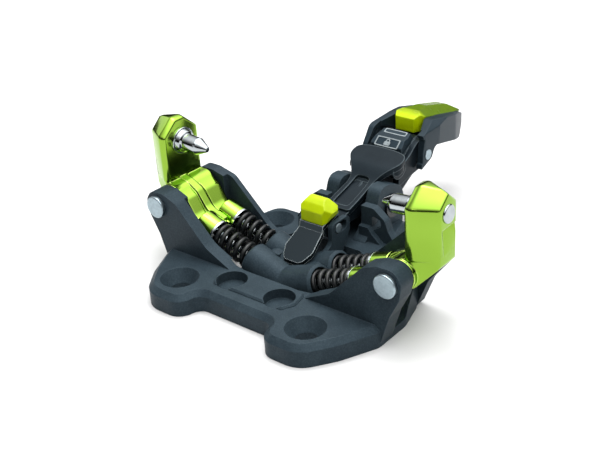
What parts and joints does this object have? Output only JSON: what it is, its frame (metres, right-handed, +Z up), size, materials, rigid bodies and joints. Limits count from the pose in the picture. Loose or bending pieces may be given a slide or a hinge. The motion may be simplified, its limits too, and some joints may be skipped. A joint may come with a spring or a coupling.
{
  "type": "touring ski binding toe piece",
  "caption": "Pin-style toe piece for ski touring: two sprung jaws with steel toe pins on a cast base, opened and locked by a front lever.",
  "frame": {"origin": "middle of the four-screw pattern on the underside of the base, which is the top surface of the ski", "axes": "+Y along the ski to its tip, +X to the right seen from above with the tip ahead, +Z up from the ski"},
  "size_m": [0.0938, 0.1076, 0.0394],
  "materials": {
    "base": "matte",
    "block": "matte",
    "jaw": "anodised, satin",
    "toe_steel": "bright",
    "pivot_steel": "satin",
    "rod_steel": "bright",
    "spring_steel": "black oxide",
    "lever": "satin",
    "tongue": "glossy",
    "stop": "satin",
    "bush": "smooth",
    "moulding": "satin",
    "handle": "satin",
    "insert": "satin"
  },
  "bodies": {
    "root": {"base_frame": "base", "jaw_pivot_pin_left": "pivot_steel", "jaw_pivot_pin_right": "pivot_steel", "pivot_clip_left": "spring_steel", "pivot_clip_right": "spring_steel", "tower_pin": "pivot_steel", "tower_clips": "spring_steel"},
    "jaw_left": {"jaw_left": "jaw", "toe_pin_left": "toe_steel", "cup_washer_left_rear": "pivot_steel", "spring_rod_left_rear": "rod_steel", "jaw_spring_left_rear": "spring_steel", "cup_washer_left_front": "pivot_steel", "spring_rod_left_front": "rod_steel", "jaw_spring_left_front": "spring_steel"},
    "jaw_right": {"jaw_right": "jaw", "toe_pin_right": "toe_steel", "cup_washer_right_rear": "pivot_steel", "spring_rod_right_rear": "rod_steel", "jaw_spring_right_rear": "spring_steel", "cup_washer_right_front": "pivot_steel", "spring_rod_right_front": "rod_steel", "jaw_spring_right_front": "spring_steel"},
    "block": {"spring_block": "block"},
    "lever": {"lift_pin": "pivot_steel", "lever_arm": "lever", "tongue_plate": "tongue", "boot_stop": "stop", "lever_bushes": "bush", "mode_block": "moulding", "boot_stop_screw": "pivot_steel"},
    "handle": {"handle_fork": "handle", "handle_insert": "insert", "handle_pin": "pivot_steel"}
  },
  "joints": [
    {"name": "lever_tilt", "type": "hinge", "parent": "root", "child": "lever", "pos_m": [0, 0.0343, 0.012], "axis": [-1, 0, 0], "range_deg": [0, 22.51]},
    {"name": "jaw_right_swing", "type": "hinge", "parent": "root", "child": "jaw_right", "pos_m": [0.0375, 0.0028, 0.0178], "axis": [0, 1, 0], "range_deg": [0, 15.01], "deforming": ["jaw_spring_right_rear", "jaw_spring_right_front"]},
    {"name": "jaw_left_swing", "type": "hinge", "parent": "root", "child": "jaw_left", "pos_m": [-0.0375, 0.0028, 0.0178], "axis": [0, -1, 0], "range_deg": [0, 15.01], "deforming": ["jaw_spring_left_rear", "jaw_spring_left_front"]},
    {"name": "block_lift", "type": "slide", "parent": "root", "child": "block", "axis": [0, 0, 1], "range_m": [0, 0.00762]},
    {"name": "handle_tilt", "type": "hinge", "parent": "lever", "child": "handle", "pos_m": [0, 0.0523, 0.0206], "axis": [1, 0, 0], "range_deg": [0, 25]}
  ],
  "couplings": [
    {"joint": "lever_tilt", "follows": "block_lift", "rad_per_m": 51.535},
    {"joint": "jaw_right_swing", "follows": "block_lift", "rad_per_m": 34.357},
    {"joint": "jaw_left_swing", "follows": "block_lift", "rad_per_m": 34.357}
  ]
}
